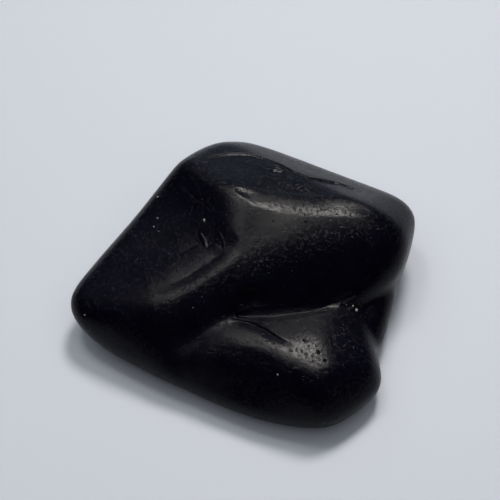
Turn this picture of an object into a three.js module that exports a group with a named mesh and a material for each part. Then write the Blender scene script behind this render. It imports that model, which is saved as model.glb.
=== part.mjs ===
// A tumbled pebble of jet, about two inches long, lying on its flat side.
// One natural piece: a low hipped crown, a lobe at the right that overhangs a step,
// and a second, lower lobe at the front right, with a creased valley between the two.
// Millimetres, +Z up, origin on the resting face below the middle of the stone.

import * as THREE from 'three';
import { mergeVertices } from 'three/addons/utils/BufferGeometryUtils.js';

// Driving dimensions
const LENGTH = 50;              // along X, left tip to right lobe
const WIDTH = 46;               // along Y, front lobe to back tip
const HEIGHT = 16;              // resting face to crest

// Resolution of the skin
const BALL_DETAIL = 20;         // subdivisions of an icosahedron, 8,820 faces
const BALL_SQUASH = 0.62;       // the stone is flat, so more points go to its rim
const EVENING_ROUNDS = 30;      // rounds of sliding the points until they are even
const EVENING_STEP = 0.6;
const WORN_FLAT = 0.12;         // what is lower than this is worn flat to rest on

// A point well inside the stone, from which every part of its skin can be reached
const HEART = new THREE.Vector3(0, -3, 6.5);
const REACH = 42;               // farther from the heart than any point of the skin

// A facet is a plane: the way it faces, as azimuth and tilt from straight up in
// degrees, and one point that it passes, in millimetres.
function facet(azimuth, tilt, x, y, z) {
  const facing = new THREE.Vector3().setFromSphericalCoords(
    1, THREE.MathUtils.degToRad(tilt), THREE.MathUtils.degToRad(azimuth));
  const normal = new THREE.Vector3(facing.z, facing.x, facing.y);
  const point = new THREE.Vector3(x, y, z);
  return new THREE.Plane().setFromNormalAndCoplanarPoint(normal, point);
}

// An egg shape: its middle, its half lengths and its turn about the vertical in degrees
function egg(x, y, z, halfX, halfY, halfZ, turn) {
  return {
    middle: new THREE.Vector3(x, y, z),
    halves: new THREE.Vector3(halfX, halfY, halfZ),
    turn: THREE.MathUtils.degToRad(turn),
  };
}

// The tall sides all round, left and back
const SIDES = {
  upperLeft: facet(143.5, 78, -15.7, 7.2, 8.5),
  back: facet(64, 78, 10.7, 17.7, 10.0),
  leftTip: facet(198, 80, -25.6, -7.7, 6.3),
  backLeft: facet(126, 80, -8.7, 17.4, 9.0),
  backTip: facet(108, 80, -3.0, 21.0, 9.5),
  frontLeft: facet(239, 84, -10.5, -17.4, 3.0),
};

// The crown: the back slope, the saddle and the flanks that fall to the front
const CROWN = {
  backSlope: facet(75, 20, 8.5, 5.7, 15.7),
  saddle: facet(275, 13, 1.5, -1.0, 14.3),
  rightShoulder: facet(278, 24, 12.8, 4.0, 16.5),
  rightFlank: facet(284, 42, 14.8, -2.2, 12.9),
  frontSlope: facet(266, 22, -5.0, -8.4, 11.7),
  frontFlank: facet(246, 46, -10.5, -14.4, 7.3),
};
const BACK_CHAMFER = facet(65, 37, 9.0, 11.0, 13.8);

// The left side of the crown: a smooth plane, and a flake scar with a floor and a wall
const LEFT_PLANE = facet(155, 18, -6.0, -4.6, 12.9);
const SCAR_FLOOR = facet(182, 16, -10.0, 2.0, 11.3);
const SCAR_WALL = facet(215, 36, -0.6, 3.1, 15.2);

// The right lobe's end, and its underside that overhangs the step
const RIGHT_END = {
  slope: facet(2, 43, 21.7, 3.0, 13.5),
  end: facet(-16, 90, 24.8, 3.0, 9.0),
  frontCorner: facet(-45, 98, 21.5, -4.2, 8.0),
  overhang: facet(-62, 108, 20.0, -6.3, 6.5),
};

// The front lobe: a flat crest between the valley behind it and the front flank
const LOBE_TOP = {
  valleySide: facet(85, 11, 7.0, -15.4, 10.4),
  rightSide: facet(10, 24, 13.4, -16.6, 9.4),
  frontSlope: facet(250, 26, 4.0, -17.0, 10.1),
  frontFlank: facet(247, 54, 4.0, -21.8, 5.9),
  leftFade: facet(202, 19, -0.6, -12.0, 10.3),
  cornerSlope: facet(-50, 50, 14.8, -20.1, 7.2),
};
const LOBE_CREST = facet(-25, 5, 10.4, -12.5, 10.1);
const LOBE_SIDES = {
  right: facet(9, 82, 19.4, -14.0, 4.5),
  corner: facet(-52, 80, 17.4, -22.0, 3.0),
  front: facet(264, 80, 9.0, -24.9, 2.2),
  root: facet(105, 60, 6.0, -3.0, 6.5),
};

// The underside: the resting face and the slopes that lift the rim off the ground
const UNDERSIDE = {
  rest: facet(0, 180, 0, 0, 0),
  left: facet(190, 130, -23.0, -8.0, 3.4),
  front: facet(241, 125, -9.6, -16.8, 1.2),
  frontLobe: facet(264, 122, 9.0, -24.4, 1.6),
  corner: facet(-48, 122, 16.7, -21.2, 1.6),
  back: facet(65, 128, 10.5, 16.2, 5.0),
  upperLeft: facet(143, 128, -15.8, 7.6, 4.0),
  right: facet(0, 130, 24.6, 1.0, 5.0),
};

// The step that shows below the right lobe: a tapered bar with round ends
const STEP = {
  from: new THREE.Vector3(18.7, -3.4, 3.8),
  to: new THREE.Vector3(17.6, -9.6, 3.2),
  fromRadius: 3.7,
  toRadius: 2.9,
};

// Shallow hollows, each cut by an egg shape turned about the vertical
const HOLLOWS = {
  valleyEnd: egg(1.9, -9.7, 11.7, 2.8, 2.8, 2.2, 25),
  back: egg(14.4, 24.0, 8.0, 7.5, 6.0, 4.5, -26),
  below: egg(-6.5, 3.5, -5.3, 10.0, 6.5, 6.2, 35),
};

// Facets met in one rounded body. A higher sharpness gives crisper edges.
function roundedBody(facets, point, sharpness) {
  const distances = Object.values(facets).map((plane) => plane.distanceToPoint(point));
  const nearest = Math.max(...distances);
  const sum = distances.reduce((total, d) => total + Math.exp(sharpness * (d - nearest)), 0);
  return nearest + Math.log(sum) / sharpness;
}

// What two bodies have in common, with a round of the given size where they meet
function common(a, b, round) {
  const overlap = Math.max(round - Math.abs(a - b), 0) / round;
  return Math.max(a, b) + overlap * overlap * round / 4;
}

// Two bodies grown together, with a fillet of the given size where they meet
function grown(a, b, fillet) {
  return -common(-a, -b, fillet);
}

function stepDistance(point) {
  const along = new THREE.Line3(STEP.from, STEP.to);
  const t = along.closestPointToPointParameter(point, true);
  const radius = THREE.MathUtils.lerp(STEP.fromRadius, STEP.toRadius, t);
  return along.at(t, new THREE.Vector3()).distanceTo(point) - radius;
}

function eggDistance(shape, point) {
  const local = point.clone().sub(shape.middle);
  local.applyAxisAngle(new THREE.Vector3(0, 0, 1), -shape.turn).divide(shape.halves);
  const depth = local.length();
  const slope = local.divide(shape.halves).length();
  return depth * (depth - 1) / Math.max(slope, 1e-9);
}

// Signed distance of a point from the skin, near enough: below zero inside the stone
function skinDistance(point) {
  const scar = grown(SCAR_FLOOR.distanceToPoint(point), SCAR_WALL.distanceToPoint(point), 2.5);
  const hips = roundedBody(CROWN, point, 2.4);
  const leftSide = common(hips, LEFT_PLANE.distanceToPoint(point), 2.2);
  const scarred = grown(leftSide, common(hips, scar, 0.9), 0.8);
  const crown = common(scarred, BACK_CHAMFER.distanceToPoint(point), 0.4);
  const main = common(crown, roundedBody(RIGHT_END, point, 1.3), 3.0);
  const lobeTop = common(
    roundedBody(LOBE_TOP, point, 2.4), LOBE_CREST.distanceToPoint(point), 0.4);
  const lobe = common(lobeTop, roundedBody(LOBE_SIDES, point, 1.4), 2.2);
  const lobes = grown(main, lobe, 0.6);
  const stepped = grown(lobes, stepDistance(point), 0.6);
  const sided = common(stepped, roundedBody(SIDES, point, 1.0), 2.6);
  const whole = common(sided, roundedBody(UNDERSIDE, point, 0.8), 2.0);
  const cut = (body, hollow) => common(body, -eggDistance(hollow, point), 0.8);
  return Object.values(HOLLOWS).reduce(cut, whole);
}

// Which way the skin faces at a point, as the slope of the distance
function skinSlope(point, target) {
  const h = 0.02;
  const probe = new THREE.Vector3();
  for (const axis of ['x', 'y', 'z']) {
    probe.copy(point);
    probe[axis] += h;
    const ahead = skinDistance(probe);
    probe[axis] -= 2 * h;
    target[axis] = (ahead - skinDistance(probe)) / (2 * h);
  }
  return target;
}

// The point of the skin that lies in one direction from the heart
function skinPoint(direction) {
  const at = (radius) => HEART.clone().addScaledVector(direction, radius);
  let inside = 0;
  let outside = 0;
  while (outside < REACH) {
    const distance = skinDistance(at(outside));
    if (distance >= 0) break;
    inside = outside;
    outside += THREE.MathUtils.clamp(-0.7 * distance, 0.05, 3);
  }
  for (let i = 0; i < 24; i += 1) {
    const middle = (inside + outside) / 2;
    if (skinDistance(at(middle)) < 0) inside = middle;
    else outside = middle;
  }
  return at(inside);
}

// A ball of even triangles, as unit directions and a list of corner numbers
function evenBall() {
  const ball = new THREE.IcosahedronGeometry(1, BALL_DETAIL);
  ball.deleteAttribute('normal');
  ball.deleteAttribute('uv');
  const merged = mergeVertices(ball, 1e-5);
  const directions = [];
  for (let i = 0; i < merged.attributes.position.count; i += 1) {
    const direction = new THREE.Vector3().fromBufferAttribute(merged.attributes.position, i);
    direction.z *= BALL_SQUASH;
    directions.push(direction.normalize());
  }
  return { directions, corners: Array.from(merged.index.array) };
}

function neighbourLists(count, corners) {
  const lists = Array.from({ length: count }, () => new Set());
  for (let i = 0; i < corners.length; i += 3) {
    const triangle = corners.slice(i, i + 3);
    for (const a of triangle) for (const b of triangle) if (a !== b) lists[a].add(b);
  }
  return lists.map((set) => [...set]);
}

// Slide every point along the skin towards the middle of its neighbours
function evenOut(points, neighbours) {
  const slope = new THREE.Vector3();
  const facing = new THREE.Vector3();
  const moved = points.map((point, i) => {
    const middle = new THREE.Vector3();
    for (const j of neighbours[i]) middle.add(points[j]);
    middle.divideScalar(neighbours[i].length).sub(point);
    facing.copy(skinSlope(point, slope)).normalize();
    middle.addScaledVector(facing, -middle.dot(facing));
    return point.clone().addScaledVector(middle, EVENING_STEP);
  });
  for (const point of moved) returnToSkin(point, slope);
  return moved;
}

function returnToSkin(point, slope) {
  for (let i = 0; i < 2; i += 1) {
    skinSlope(point, slope);
    const distance = THREE.MathUtils.clamp(skinDistance(point), -1, 1);
    point.addScaledVector(slope, -distance / slope.lengthSq());
  }
}

// Bring the stone to its driving dimensions, flat below, with the origin under its middle
function fitToSize(points) {
  for (const point of points) if (point.z < WORN_FLAT) point.z = 0;
  const box = new THREE.Box3().setFromPoints(points);
  const middle = box.getCenter(new THREE.Vector3()).setZ(box.min.z);
  const scale = new THREE.Vector3(LENGTH, WIDTH, HEIGHT).divide(box.getSize(new THREE.Vector3()));
  for (const point of points) point.sub(middle).multiply(scale);
}

function pebbleGeometry() {
  const { directions, corners } = evenBall();
  const neighbours = neighbourLists(directions.length, corners);
  let points = directions.map(skinPoint);
  for (let i = 0; i < EVENING_ROUNDS; i += 1) points = evenOut(points, neighbours);
  fitToSize(points);
  const geometry = new THREE.BufferGeometry().setFromPoints(points);
  geometry.setIndex(corners);
  geometry.computeVertexNormals();
  return geometry;
}

const jet = new THREE.MeshStandardMaterial({
  name: 'jet',
  color: 0x15171b,
  roughness: 0.28,
  metalness: 0,
});

const pebble = new THREE.Mesh(pebbleGeometry(), jet);
pebble.name = 'jet_pebble';

const group = new THREE.Group();
group.add(pebble);

export default group;
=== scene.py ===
# Looks of a tumbled pebble of jet: its fine skin, its gloss, a pale table and soft light.
# Lengths are metres, and the marks on the stone are listed in millimetres, seen from above.

import math
import random
from collections import namedtuple

import bmesh
import bpy
import numpy as np
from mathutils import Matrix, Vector, noise
from mathutils.bvhtree import BVHTree


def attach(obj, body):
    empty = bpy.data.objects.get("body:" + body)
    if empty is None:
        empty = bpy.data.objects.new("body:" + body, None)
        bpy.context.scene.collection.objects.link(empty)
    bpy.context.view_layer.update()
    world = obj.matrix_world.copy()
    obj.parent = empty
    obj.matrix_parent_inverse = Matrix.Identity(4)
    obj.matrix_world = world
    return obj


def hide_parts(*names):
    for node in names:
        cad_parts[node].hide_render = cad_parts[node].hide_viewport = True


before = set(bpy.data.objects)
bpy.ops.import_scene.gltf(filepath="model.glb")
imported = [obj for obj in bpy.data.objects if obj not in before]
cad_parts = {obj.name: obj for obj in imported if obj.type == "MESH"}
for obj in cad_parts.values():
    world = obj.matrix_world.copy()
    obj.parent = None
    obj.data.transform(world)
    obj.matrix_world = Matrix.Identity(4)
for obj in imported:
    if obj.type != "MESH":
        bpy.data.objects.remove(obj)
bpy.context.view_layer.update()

MM = 0.001
STONE = "jet_pebble"

# Camera: the photograph looks down at the stone from the front with a long lens
VIEW_ELEVATION = 56.0
VIEW_DISTANCE = 230 * MM
VIEW_AIM = Vector((0.73, 4.09, 7.0)) * MM
LENS = 113.9
SENSOR = 36.0

# Fine skin, in millimetres
WELD = 0.0001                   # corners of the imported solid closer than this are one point
SMOOTHINGS = 2                  # rounds of Loop subdivision, four triangles for each one
RESTING = 0.05                  # skin lower than this lies on the table and stays flat

# Finer triangles: how far past a mark's edge they reach, and the shortest edge to split
REFINEMENTS = [(0.30, 0.16), (0.05, 0.12)]
CLIFF = 1.0                     # a sag gets them only if one of its sides is narrower
WIDE = 1.5                      # a mark with a half width above this gets none

# Waves over the whole skin: size, height
WAVES = [
    (6.0, 0.040),
    (2.4, 0.012),
    (0.9, 0.004),
]

# A mark is a line of places on the skin, with half widths and one height along it.
# Its section is (1 - t ** hollow) ** soft, where t runs from its middle line to its edge.
# Its raggedness is the share by which its width wavers.
Mark = namedtuple("Mark", "places half_widths height section ragged")
RAGGED_SIZE = 0.5               # length over which a ragged edge wavers
ROUND = (2, 2)
BOWL = (2, 1)
VEE = (1, 1)

MARKS = {
    "back_rim": Mark(
        [(-5.4, 15.6), (-2.8, 16.6), (-0.7, 16.9), (1.0, 16.9), (3.1, 16.1), (5.1, 15.1),
         (7.0, 13.5), (9.1, 12.3), (11.2, 12.3), (13.0, 12.2), (15.6, 11.2)],
        [0.3, 0.5, 0.5, 0.5, 0.55, 0.55, 0.55, 0.55, 0.5, 0.45, 0.3], 0.17, ROUND, 0.05),
    "worn_crest": Mark(
        [(-1.0, 8.4), (1.5, 7.4), (5.1, 6.7), (9.4, 6.3), (13.8, 6.2), (17.0, 5.5)],
        [0.6, 1.8, 2.2, 2.2, 2.2, 1.0], -0.18, ROUND, 0),
    "valley": Mark(
        [(-0.8, -8.7), (1.4, -8.5), (3.8, -8.6), (6.5, -8.1), (8.6, -7.7), (10.7, -7.1),
         (13.4, -5.9), (15.7, -4.9)],
        [0.5, 1.2, 1.2, 1.2, 1.1, 0.95, 0.8, 0.4], -0.34, VEE, 0.04),
    "comma_left": Mark([(-6.3, 2.8), (-5.9, 1.8), (-5.6, 0.7)], [0.3, 0.5, 0.3], 0.09, ROUND, 0.2),
    "comma_right": Mark([(-3.6, 2.3), (-3.2, 1.1), (-2.9, 0.0)], [0.2, 0.4, 0.2], 0.04, ROUND, 0.2),
    "scar_lip_left": Mark(
        [(-19.0, 3.3), (-18.3, 2.6), (-17.3, 1.8), (-16.2, 1.3), (-15.0, 1.3), (-13.9, 1.5)],
        [0.15, 0.3, 0.35, 0.35, 0.3, 0.15], 0.07, ROUND, 0.3),
    "scar_lip_right": Mark(
        [(-12.7, 2.0), (-11.6, 1.2), (-10.5, 0.3), (-9.2, 0.1)],
        [0.15, 0.35, 0.4, 0.2], 0.09, ROUND, 0.3),
    "scratch": Mark(
        [(-9.1, 10.7), (-7.9, 9.4), (-7.0, 8.4), (-6.0, 7.4)],
        [0.2, 0.3, 0.28, 0.15], -0.04, ROUND, 0.3),
    "pit_slot": Mark([(4.0, 14.2), (4.8, 14.2), (5.5, 13.9)], [0.15, 0.3, 0.2], -0.22, BOWL, 0.2),
    "pit_shelf": Mark([(4.3, 13.0), (5.1, 12.9)], [0.6, 0.6], -0.16, BOWL, 0.3),
    "rim_chip": Mark(
        [(10.8, 11.7), (12.2, 11.6), (13.3, 11.6)], [0.25, 0.45, 0.3], -0.09, BOWL, 0.4),
    "valley_chips": Mark(
        [(13.6, -6.5), (14.4, -6.5), (15.0, -6.1), (16.4, -5.8)],
        [0.3, 0.45, 0.35, 0.2], -0.14, BOWL, 0.4),
    "left_tip_nick": Mark([(-22.1, -5.7), (-21.6, -6.5)], [0.3, 0.3], -0.06, BOWL, 0.3),
}

# A sag sinks the skin along a line that runs to the right, most on the line itself, and
# fades out over one width in front of it and another behind it. Wide ones draw the solid's
# straight ridges to the places of the worn ones. A narrow side is a small cliff.
Sag = namedtuple("Sag", "places depth front back")
SAGS = {
    "crest": Sag(
        [(-1.5, 9.6), (1.0, 9.5), (3.0, 9.3), (5.0, 9.1), (7.5, 8.9), (10.0, 8.7),
         (12.0, 8.4), (14.0, 8.0)],
        0.52, 3.2, 6.0),
    "left_ridge": Sag(
        [(-13.2, -5.9), (-10.4, -5.0), (-7.6, -3.6), (-4.1, -1.3), (-2.0, 0.1), (-0.7, 0.9)],
        0.36, 2.4, 6.5),
    "scar_edge": Sag(
        [(-19.0, 3.3), (-18.3, 2.6), (-17.3, 1.8), (-16.2, 1.3), (-15.0, 1.3), (-13.9, 1.5),
         (-12.7, 2.0), (-11.6, 1.2), (-10.5, 0.3), (-9.2, 0.1), (-7.7, 0.8), (-6.5, 1.3),
         (-5.5, 0.5), (-4.3, 1.0), (-3.2, 0.2), (-1.8, 0.5), (-0.4, 1.0)],
        0.20, 0.35, 3.2),
    "leaf": Sag(
        [(-2.2, -9.7), (-0.9, -9.5), (0.3, -9.6), (1.4, -10.1), (2.7, -11.0), (4.0, -12.1),
         (5.3, -13.1), (6.6, -14.0)],
        0.34, 1.6, 0.35),
    "leaf_foot": Sag(
        [(-5.0, -13.3), (-2.0, -14.4), (1.1, -15.5), (3.8, -16.2), (6.2, -16.9)],
        0.36, 8.0, 4.0),
}
SAG_CURVE = 1.5                 # above 1, a sag blends smoothly into the skin around it
SAG_END = 2                     # number of places over which a sag fades in at each end

# Round pits: place, half width, depth
PITS = [
    ((8.2, -13.0), 0.24, 0.16),
    ((10.1, -14.9), 0.26, 0.18),
    ((11.0, -16.1), 0.24, 0.17),
    ((2.5, -12.0), 0.18, 0.10),
    ((8.6, 3.3), 0.22, 0.12),
    ((-5.6, 4.6), 0.30, 0.10),
]
PIT_RAGGED = 0.3
STRAY_PITS = 110
STRAY_HALF_WIDTHS = (0.10, 0.22)
STRAY_DEPTHS = (0.01, 0.04)
STRAY_SEED = 7

# Dull, rough places: place, reach. Patches of shine are left in them.
DULL_END = 1.3                  # where one has faded out, in reaches; it fades over one reach
PATCH_SIZE = 1.1
PATCH_LEVEL = 0.75
PATCH_CONTRAST = 0.8
DULL_PLACES = [
    ((-8.5, -13.5), 2.2),
    ((-5.7, -15.6), 2.4),
    ((-3.4, -17.2), 1.8),
    ((1.2, -7.2), 2.2),
    ((3.6, -8.5), 1.3),
    ((6.0, -8.1), 1.2),
    ((8.4, -7.7), 1.0),
    ((14.6, -6.0), 1.6),
    ((12.0, 11.8), 0.9),
]

# Pale grains held in the skin: place, radius
GRAINS = [
    ((-13.8, 11.1), 0.13),
    ((-12.7, 10.4), 0.14),
    ((-12.6, 6.8), 0.14),
    ((-13.1, 5.5), 0.12),
    ((-12.4, 4.6), 0.08),
    ((-5.8, 4.8), 0.20),
    ((-22.6, -7.3), 0.12),
    ((-7.2, -8.3), 0.08),
    ((4.5, -17.9), 0.15),
    ((15.8, -6.5), 0.25),
    ((15.3, -6.1), 0.11),
    ((14.3, -6.2), 0.07),
    ((12.4, 12.1), 0.13),
]
GRAIN_SUNK = 0.4                # depth of a grain's middle below the skin, in its radii
GRAIN_STRETCH = (0.75, 1.25)
GRAIN_LUMPS = 0.25              # share of its radius by which a grain's surface wavers
LUMP_SIZE = 0.12
GRAIN_SEED = 3

# Materials: colours are linear red, green, blue and alpha
JET_IOR = 1.66
JET_SPECULAR = 0.08             # far below the 0.5 of real jet, as the photo's blacks are deep
JET_DARK = (0.0005, 0.0004, 0.0020, 1)
JET_LIGHT = (0.0013, 0.0012, 0.0036, 1)
GLOSS = (0.21, 0.29)            # roughness of the polished skin
DULL_ROUGHNESS = 0.24           # added where the skin is dull
FINE_GRAIN = 0.015 * MM         # height of the polish's fine grain
COARSE_GRAIN = 0.028 * MM       # depth of its small hollows
GRAIN_DARK = (0.11, 0.107, 0.103, 1)
GRAIN_LIGHT = (0.34, 0.33, 0.31, 1)
TABLE_COLOUR = (0.385, 0.41, 0.457, 1)
MATT = 0.6                      # roughness of the grains and the table

# Noises in the materials, with the range of their values that is used
Noise = namedtuple("Noise", "scale detail roughness low high")
JET_TINT = Noise(260, 3.0, 0.55, 0.35, 0.75)
JET_GLOSS = Noise(900, 4.0, 0.6, 0.3, 0.7)
JET_FINE = Noise(5200, 2.0, 0.5, 0.25, 0.75)
JET_COARSE = Noise(2300, 3.0, 0.7, 0.30, 0.46)
GRAIN_TINT = Noise(4000, 3.0, 0.55, 0, 1)

# Lights: shape, azimuth, elevation, distance, width, height, brightness, colour, with the
# angles in degrees and the lengths in metres
LIGHTS = {
    "lamp": ("ELLIPSE", 74, 60, 0.5, 0.125, 0.125, 42.0, (1.0, 0.96, 0.91)),
    "left_lamp": ("ELLIPSE", 127, 69, 0.5, 0.12, 0.12, 12.0, (1.0, 0.97, 0.94)),
    "back_wall": ("RECTANGLE", 80, 17, 1.3, 1.15, 0.55, 0.58, (0.60, 0.79, 1.0)),
    "left_wall": ("RECTANGLE", 127, 38, 1.3, 1.05, 0.70, 0.25, (0.60, 0.77, 1.0)),
    "ceiling": ("RECTANGLE", 90, 90, 1.0, 2.0, 2.0, 0.90, (0.97, 0.98, 1.0)),
}
UNREFLECTED = ["ceiling"]       # lights that the stone's gloss doesn't show
ROOM_COLOUR = (0.70, 0.80, 1.0, 1)
ROOM_STRENGTH = 0.02
TABLE_SIZE = 4


def vectors(places):
    return np.array(places, dtype=float)


def bmesh_from(points, triangles):
    bm = bmesh.new()
    corners = [bm.verts.new(p) for p in points.tolist()]
    for a, b, c in triangles.tolist():
        bm.faces.new((corners[a], corners[b], corners[c]))
    return bm


def arrays_from(bm):
    """The points and triangles of a bmesh, which is freed."""
    bm.verts.index_update()
    points = vectors([v.co for v in bm.verts])
    triangles = np.array([[v.index for v in face.verts] for face in bm.faces])
    bm.free()
    return points, triangles


def shared_skin(node):
    """The CAD solid as shared points and triangles."""
    bm = bmesh.new()
    bm.from_mesh(node.data)
    bmesh.ops.remove_doubles(bm, verts=bm.verts, dist=WELD * MM)
    return arrays_from(bm)


def loop_subdivide(points, triangles):
    """One round of Loop subdivision of a closed mesh of triangles."""
    sides = np.sort(triangles[:, [[0, 1], [1, 2], [2, 0]]].reshape(-1, 2), axis=1)
    edges, edge_of_side = np.unique(sides, axis=0, return_inverse=True)
    edge_of_side = edge_of_side.reshape(-1, 3)
    across = np.zeros((len(edges), 3))
    np.add.at(across, edge_of_side, points[triangles[:, [2, 0, 1]]])
    middles = 3 / 8 * points[edges].sum(axis=1) + 1 / 8 * across

    valence = np.bincount(edges.ravel(), minlength=len(points))
    around = np.zeros_like(points)
    np.add.at(around, edges[:, 0], points[edges[:, 1]])
    np.add.at(around, edges[:, 1], points[edges[:, 0]])
    weight = np.where(valence > 3, 3 / (8 * valence), 3 / 16)[:, None]
    corners = points * (1 - weight * valence[:, None]) + weight * around

    a, b, c = triangles.T
    ab, bc, ca = edge_of_side.T + len(points)
    quarters = [(a, ab, ca), (ab, b, bc), (ca, bc, c), (ab, bc, ca)]
    return np.vstack([corners, middles]), np.vstack([np.stack(q, axis=1) for q in quarters])


def along_line(points, line):
    """Distance from a line of points, and how far along it, counted in its own points."""
    best = np.full(len(points), np.inf)
    place = np.zeros(len(points))
    for i, (start, end) in enumerate(zip(line[:-1], line[1:])):
        step = end - start
        t = np.clip((points - start) @ step / (step @ step), 0, 1)
        distance = np.linalg.norm(points - start - t[:, None] * step, axis=1)
        nearer = distance < best
        best = np.where(nearer, distance, best)
        place = np.where(nearer, i + t, place)
    return best, place


def behind_line(points, line):
    """Millimetres behind a line that runs to the right, and a share that fades at its ends."""
    distance, place = along_line(points, line)
    first = place.astype(int).clip(0, len(line) - 2)
    along = line[first + 1] - line[first]
    across = points - line[first]
    side = np.sign(along[:, 0] * across[:, 1] - along[:, 1] * across[:, 0])
    share = np.clip(np.minimum(place, len(line) - 1 - place) / SAG_END, 0, 1)
    return side * distance / MM, share


def point_normals(points, triangles):
    a, b, c = points[triangles].transpose(1, 0, 2)
    normals = np.zeros_like(points)
    for corner in range(3):
        np.add.at(normals, triangles[:, corner], np.cross(b - a, c - a))
    return normals / np.linalg.norm(normals, axis=1)[:, None]


def wander(points, size):
    """Smooth noise between -1 and 1 at each point."""
    return vectors([noise.noise(Vector(p)) for p in (points / (size * MM)).tolist()])


class Skin:
    """The stone's fine skin while it is being marked."""

    def __init__(self, node):
        self.points, self.triangles = shared_skin(node)
        for _ in range(SMOOTHINGS):
            self.points, self.triangles = loop_subdivide(self.points, self.triangles)
        self.tree = BVHTree.FromPolygons(self.points.tolist(), self.triangles.tolist())
        self.lines = {name: self.drop(mark.places) for name, mark in MARKS.items()}
        self.sag_lines = {name: self.drop(sag.places) for name, sag in SAGS.items()}
        self.pits = [(self.drop([place])[0], half, depth) for place, half, depth in PITS]
        self.pits += self.stray_pits()

    def drop(self, places):
        """The points of the skin straight below places given in millimetres."""
        down = Vector((0, 0, -1))
        hits = [self.tree.ray_cast(Vector((x * MM, y * MM, 1)), down)[0] for x, y in places]
        return vectors(hits)

    def stray_pits(self):
        """Small pits scattered over the whole stone."""
        chance = random.Random(STRAY_SEED)
        corners = chance.sample(range(len(self.points)), STRAY_PITS)
        return [(self.points[i], chance.uniform(*STRAY_HALF_WIDTHS), chance.uniform(*STRAY_DEPTHS))
                for i in corners]

    def past_marks(self, points):
        """How far each point lies past the edge of the nearest cliff, pit or narrow mark."""
        past = np.full(len(points), np.inf)
        for name, line in self.sag_lines.items():
            narrow = min(SAGS[name].front, SAGS[name].back)
            if narrow < CLIFF:
                past = np.minimum(past, along_line(points, line)[0] - narrow * MM)
        for name, line in self.lines.items():
            if max(MARKS[name].half_widths) > WIDE:
                continue
            distance, place = along_line(points, line)
            half = np.interp(place, range(len(line)), MARKS[name].half_widths) * MM
            past = np.minimum(past, distance - half)
        for middle, half, _ in self.pits:
            past = np.minimum(past, np.linalg.norm(points - middle, axis=1) - half * MM)
        return past

    def refine(self, reach, shortest):
        """Split the edges near the marks, so that small forms have enough points."""
        bm = bmesh_from(self.points, self.triangles)
        ends = vectors([[v.co for v in edge.verts] for edge in bm.edges])
        length = np.linalg.norm(ends[:, 0] - ends[:, 1], axis=1)
        near = self.past_marks(ends.mean(axis=1)) < reach * MM
        chosen = [edge for edge, wanted in zip(bm.edges, near & (length > shortest * MM)) if wanted]
        bmesh.ops.subdivide_edges(bm, edges=chosen, cuts=1, use_grid_fill=True)
        bmesh.ops.triangulate(bm, faces=[face for face in bm.faces if len(face.verts) > 3])
        self.points, self.triangles = arrays_from(bm)

    def relief(self):
        """How high the skin stands above the smooth stone at each point."""
        points = self.points
        height = sum(wander(points, size) * tall for size, tall in WAVES)
        height -= sum(self.sag_depth(name) for name in SAGS)
        ragged = wander(points, RAGGED_SIZE)
        for name, line in self.lines.items():
            mark = MARKS[name]
            hollow, soft = mark.section
            distance, place = along_line(points, line)
            half = np.interp(place, range(len(line)), mark.half_widths) * MM
            t = np.clip(distance / half * (1 + mark.ragged * ragged), 0, 1)
            height += mark.height * (1 - t ** hollow) ** soft
        for middle, half, depth in self.pits:
            distance = np.linalg.norm(points - middle, axis=1)
            t = np.clip(distance / (half * MM) * (1 + PIT_RAGGED * ragged), 0, 1)
            height -= depth * (1 - t ** 2)
        return height * MM

    def sag_depth(self, name):
        sag = SAGS[name]
        behind, share = behind_line(self.points, self.sag_lines[name])
        fade = np.where(behind > 0, 1 - behind / sag.back, 1 + behind / sag.front)
        return sag.depth * share * np.clip(fade, 0, 1) ** SAG_CURVE

    def apply_relief(self):
        height = self.relief()
        height[self.points[:, 2] < RESTING * MM] = 0
        self.points = self.points + height[:, None] * point_normals(self.points, self.triangles)

    def dullness(self):
        """How dull the skin is at each point, from 0 to 1."""
        dull = np.zeros(len(self.points))
        for place, reach in DULL_PLACES:
            distance = np.linalg.norm(self.points - self.drop([place])[0], axis=1)
            dull = np.maximum(dull, np.clip(DULL_END - distance / (reach * MM), 0, 1))
        patches = PATCH_LEVEL + PATCH_CONTRAST * wander(self.points, PATCH_SIZE)
        return dull * np.clip(patches, 0, 1)


def new_object(name, mesh):
    piece = bpy.data.objects.new(name, mesh)
    bpy.context.scene.collection.objects.link(piece)
    return piece


def add_noise(material, kind):
    """A noise texture fixed to the stone, as its value's socket."""
    nodes = material.node_tree.nodes
    place = nodes.get("place") or nodes.new("ShaderNodeTexCoord")
    place.name = "place"
    node = nodes.new("ShaderNodeTexNoise")
    node.inputs["Scale"].default_value = kind.scale
    node.inputs["Detail"].default_value = kind.detail
    node.inputs["Roughness"].default_value = kind.roughness
    material.node_tree.links.new(place.outputs["Object"], node.inputs["Vector"])
    return node.outputs["Fac"]


def add_range(material, value, start, end, low, high):
    """A value remapped from one range to another."""
    node = material.node_tree.nodes.new("ShaderNodeMapRange")
    for name, number in zip(("From Min", "From Max", "To Min", "To Max"), (start, end, low, high)):
        node.inputs[name].default_value = number
    material.node_tree.links.new(value, node.inputs["Value"])
    return node.outputs["Result"]


def add_noise_range(material, kind, low, high):
    """A noise whose own range is remapped to another."""
    return add_range(material, add_noise(material, kind), kind.low, kind.high, low, high)


def add_maths(material, operation, first, second):
    node = material.node_tree.nodes.new("ShaderNodeMath")
    node.operation = operation
    material.node_tree.links.new(first, node.inputs[0])
    material.node_tree.links.new(second, node.inputs[1])
    return node.outputs["Value"]


def new_material(name):
    material = bpy.data.materials.new(name)
    material.use_nodes = True
    return material, material.node_tree.nodes["Principled BSDF"]


def add_bump(material, height, distance):
    node = material.node_tree.nodes.new("ShaderNodeBump")
    node.inputs["Strength"].default_value = 1.0
    node.inputs["Distance"].default_value = distance
    material.node_tree.links.new(height, node.inputs["Height"])
    return node


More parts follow.
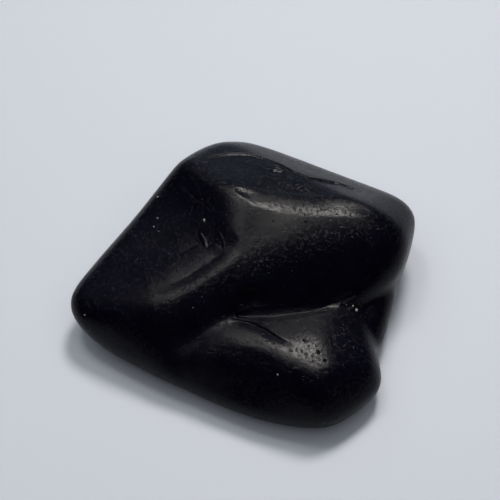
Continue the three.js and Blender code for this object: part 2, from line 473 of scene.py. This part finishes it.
def add_tint(material, shader, kind, dark, light):
    """Colour the shader by a noise, from a dark colour to a light one."""
    node = material.node_tree.nodes.new("ShaderNodeValToRGB")
    first, last = node.color_ramp.elements
    first.position, last.position = kind.low, kind.high
    first.color, last.color = dark, light
    material.node_tree.links.new(add_noise(material, kind), node.inputs["Fac"])
    material.node_tree.links.new(node.outputs["Color"], shader.inputs["Base Color"])


def jet_material():
    material, shader = new_material("jet")
    nodes = material.node_tree.nodes
    links = material.node_tree.links
    shader.inputs["IOR"].default_value = JET_IOR
    shader.inputs["Specular IOR Level"].default_value = JET_SPECULAR
    add_tint(material, shader, JET_TINT, JET_DARK, JET_LIGHT)

    dull = nodes.new("ShaderNodeAttribute")
    dull.attribute_name = "dull"
    gloss = add_noise_range(material, JET_GLOSS, *GLOSS)
    worn = add_range(material, dull.outputs["Fac"], 0, 1, 0, DULL_ROUGHNESS)
    links.new(add_maths(material, "ADD", gloss, worn), shader.inputs["Roughness"])

    fine = add_bump(material, add_noise_range(material, JET_FINE, 0, 1), FINE_GRAIN)
    coarse = add_bump(material, add_noise_range(material, JET_COARSE, 0, 1), COARSE_GRAIN)
    links.new(fine.outputs["Normal"], coarse.inputs["Normal"])
    links.new(coarse.outputs["Normal"], shader.inputs["Normal"])
    return material


def grain_material():
    material, shader = new_material("pale_grain")
    add_tint(material, shader, GRAIN_TINT, GRAIN_DARK, GRAIN_LIGHT)
    shader.inputs["Roughness"].default_value = MATT
    return material


def table_material():
    material, shader = new_material("table")
    shader.inputs["Base Color"].default_value = TABLE_COLOUR
    shader.inputs["Roughness"].default_value = MATT
    return material


def add_stone():
    """The stone's visible skin, which stands for the CAD solid."""
    skin = Skin(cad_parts[STONE])
    for reach, shortest in REFINEMENTS:
        skin.refine(reach, shortest)
    skin.apply_relief()
    mesh = bpy.data.meshes.new("pebble_skin")
    mesh.from_pydata(skin.points.tolist(), [], skin.triangles.tolist())
    mesh.shade_smooth()
    mesh.attributes.new("dull", "FLOAT", "POINT").data.foreach_set("value", skin.dullness())
    mesh.materials.append(jet_material())
    piece = new_object("pebble_skin", mesh)
    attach(piece, "root")
    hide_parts(STONE)
    return skin


def add_grains(skin):
    """Small uneven grains, each partly sunk in the skin."""
    chance = random.Random(GRAIN_SEED)
    bm = bmesh.new()
    for place, radius in GRAINS:
        grain = bmesh.ops.create_icosphere(bm, subdivisions=2, radius=radius * MM)["verts"]
        middle, normal, _, _ = skin.tree.find_nearest(Vector(skin.drop([place])[0]))
        stretch = Vector([chance.uniform(*GRAIN_STRETCH) for _ in range(3)])
        for v in grain:
            v.co = v.co * stretch * (1 + GRAIN_LUMPS * noise.noise(v.co / (LUMP_SIZE * MM)))
            v.co += middle - normal * GRAIN_SUNK * radius * MM
    mesh = bpy.data.meshes.new("pale_grains")
    bm.to_mesh(mesh)
    bm.free()
    mesh.shade_smooth()
    mesh.materials.append(grain_material())
    piece = new_object("pale_grains", mesh)
    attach(piece, "root")


def add_table():
    bpy.ops.mesh.primitive_plane_add(size=TABLE_SIZE)
    table = bpy.context.object
    table.name = "table"
    table.data.materials.append(table_material())


def aim(thing, target):
    thing.rotation_euler = (target - thing.location).to_track_quat("-Z", "Y").to_euler()


def from_direction(azimuth, elevation, distance):
    a = math.radians(azimuth)
    e = math.radians(elevation)
    return distance * Vector((math.cos(a) * math.cos(e), math.sin(a) * math.cos(e), math.sin(e)))


def add_card(name, shape, azimuth, elevation, distance, width, height, radiance, colour):
    """A flat light that faces the stone, with its brightness given for each square metre."""
    data = bpy.data.lights.new(name, "AREA")
    data.shape = shape
    data.size = width
    data.size_y = height
    data.energy = radiance * width * height * math.pi
    data.color = colour
    card = new_object(name, data)
    card.location = from_direction(azimuth, elevation, distance)
    aim(card, Vector((0, 0, 0)))
    return card


def add_lights():
    for name, settings in LIGHTS.items():
        card = add_card(name, *settings)
        card.visible_glossy = name not in UNREFLECTED
    world = bpy.data.worlds.new("room")
    world.use_nodes = True
    background = world.node_tree.nodes["Background"]
    background.inputs["Color"].default_value = ROOM_COLOUR
    background.inputs["Strength"].default_value = ROOM_STRENGTH
    bpy.context.scene.world = world


def add_camera():
    data = bpy.data.cameras.new("camera")
    data.lens = LENS
    data.sensor_width = SENSOR
    data.clip_start = 0.01
    camera = new_object("camera", data)
    camera.location = VIEW_AIM + from_direction(-90, VIEW_ELEVATION, VIEW_DISTANCE)
    aim(camera, VIEW_AIM)
    bpy.context.scene.camera = camera


add_camera()
add_grains(add_stone())
add_table()
add_lights()
bpy.context.scene.view_settings.view_transform = "Standard"
